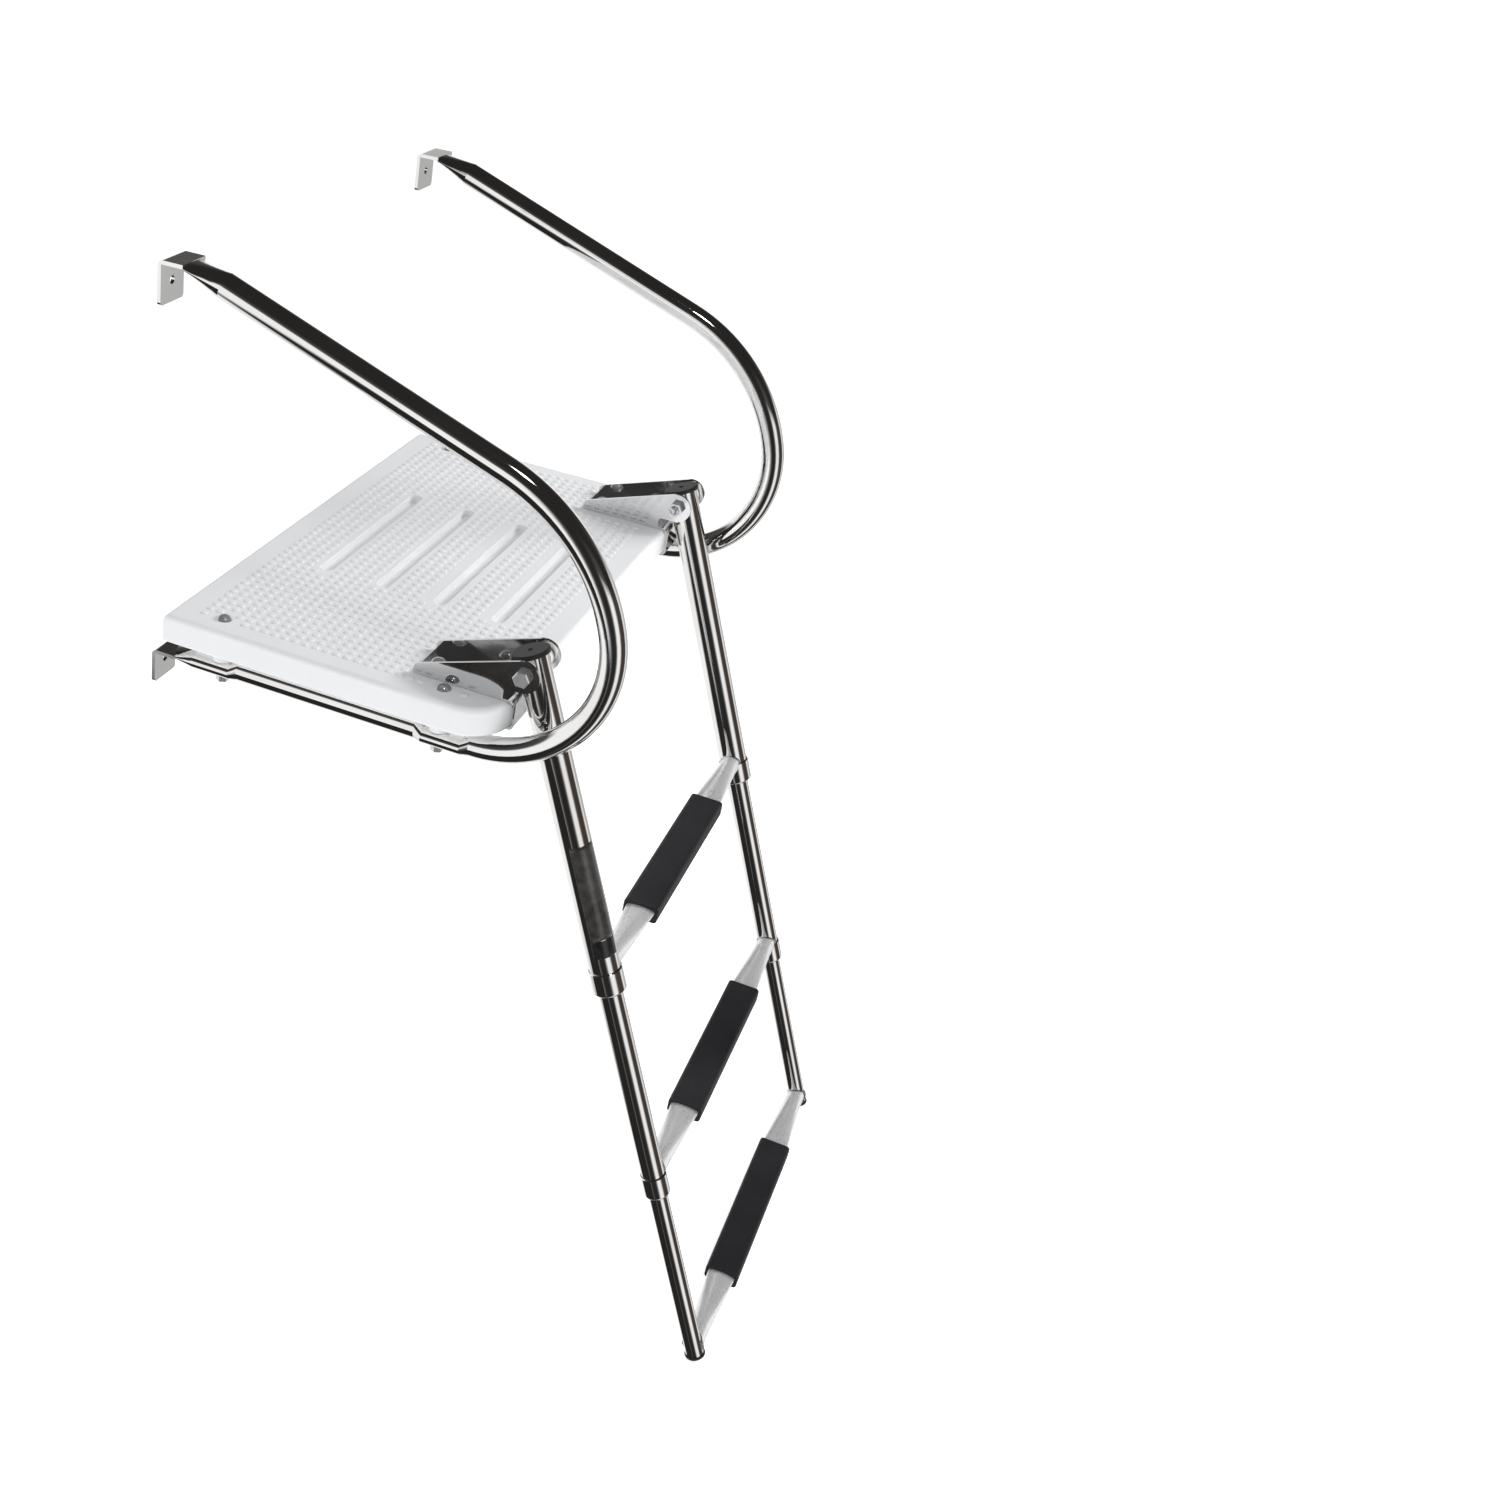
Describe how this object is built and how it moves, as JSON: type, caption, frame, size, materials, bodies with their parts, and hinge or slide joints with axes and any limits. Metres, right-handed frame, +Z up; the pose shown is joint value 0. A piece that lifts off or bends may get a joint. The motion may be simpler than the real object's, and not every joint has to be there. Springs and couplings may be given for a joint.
{
  "type": "boat boarding ladder",
  "caption": "Transom swim platform: moulded board on bent stainless grab rails, with a fold-up telescoping boarding ladder hinged at its aft edge.",
  "frame": {"origin": "centre of the four transom screw holes, on the plane of the transom tabs' forward faces", "axes": "+X starboard, +Y forward into the transom, +Z up; the ladder hangs towards -Y"},
  "size_m": [0.505, 0.5973, 0.9438],
  "materials": {
    "white_polyethylene": "satin moulded white",
    "polished_tube": "mirror-polished stainless tube",
    "polished_collar": "mirror-polished stainless collar",
    "polished_sheet": "mirror-polished stainless sheet",
    "satin_tread": "bright satin stainless tube",
    "fastener_steel": "turned stainless",
    "black_plastic": "semi-matt black plastic",
    "black_tread": "ribbed black tread pad",
    "white_nylon": "natural nylon",
    "black_webbing": "woven black webbing"
  },
  "bodies": {
    "platform": {"platform_board": "white_polyethylene", "port_rail": "polished_tube", "starboard_rail": "polished_tube", "rail_bolts": "fastener_steel", "rail_washers": "fastener_steel", "rail_nuts": "fastener_steel", "bracket_screws": "fastener_steel", "bracket_washers": "fastener_steel", "bracket_nuts": "fastener_steel", "port_hinge_bracket": "polished_sheet", "starboard_hinge_bracket": "polished_sheet", "port_pivot_bolt": "fastener_steel", "starboard_pivot_bolt": "fastener_steel", "port_pivot_nut": "fastener_steel", "starboard_pivot_nut": "fastener_steel", "pivot_washers": "fastener_steel", "retaining_strap": "black_webbing"},
    "upper_section": {"port_outer_tube": "polished_tube", "port_pivot_bush": "white_nylon", "port_top_cap": "black_plastic", "port_outer_collar": "polished_collar", "starboard_outer_tube": "polished_tube", "starboard_pivot_bush": "white_nylon", "starboard_top_cap": "black_plastic", "starboard_outer_collar": "polished_collar", "top_tread_tube": "satin_tread", "top_tread_pad": "black_tread"},
    "middle_section": {"port_middle_tube": "polished_tube", "port_middle_guide": "white_nylon", "port_middle_collar": "polished_collar", "starboard_middle_tube": "polished_tube", "starboard_middle_guide": "white_nylon", "starboard_middle_collar": "polished_collar", "middle_tread_tube": "satin_tread", "middle_tread_pad": "black_tread"},
    "lower_section": {"port_lower_tube": "polished_tube", "port_lower_guide": "white_nylon", "port_foot_plug": "black_plastic", "starboard_lower_tube": "polished_tube", "starboard_lower_guide": "white_nylon", "starboard_foot_plug": "black_plastic", "bottom_tread_tube": "satin_tread", "bottom_tread_pad": "black_tread"}
  },
  "joints": [
    {"name": "ladder_fold", "type": "hinge", "parent": "platform", "child": "upper_section", "pos_m": [0, -0.3244, -0.084], "axis": [-1, 0, 0], "range_deg": [0, 249.5]},
    {"name": "middle_slide", "type": "slide", "parent": "upper_section", "child": "middle_section", "axis": [0, 0.3616, 0.9323], "range_m": [0, 0.188]},
    {"name": "lower_slide", "type": "slide", "parent": "middle_section", "child": "lower_section", "axis": [0, 0.3616, 0.9323], "range_m": [0, 0.171]}
  ]
}
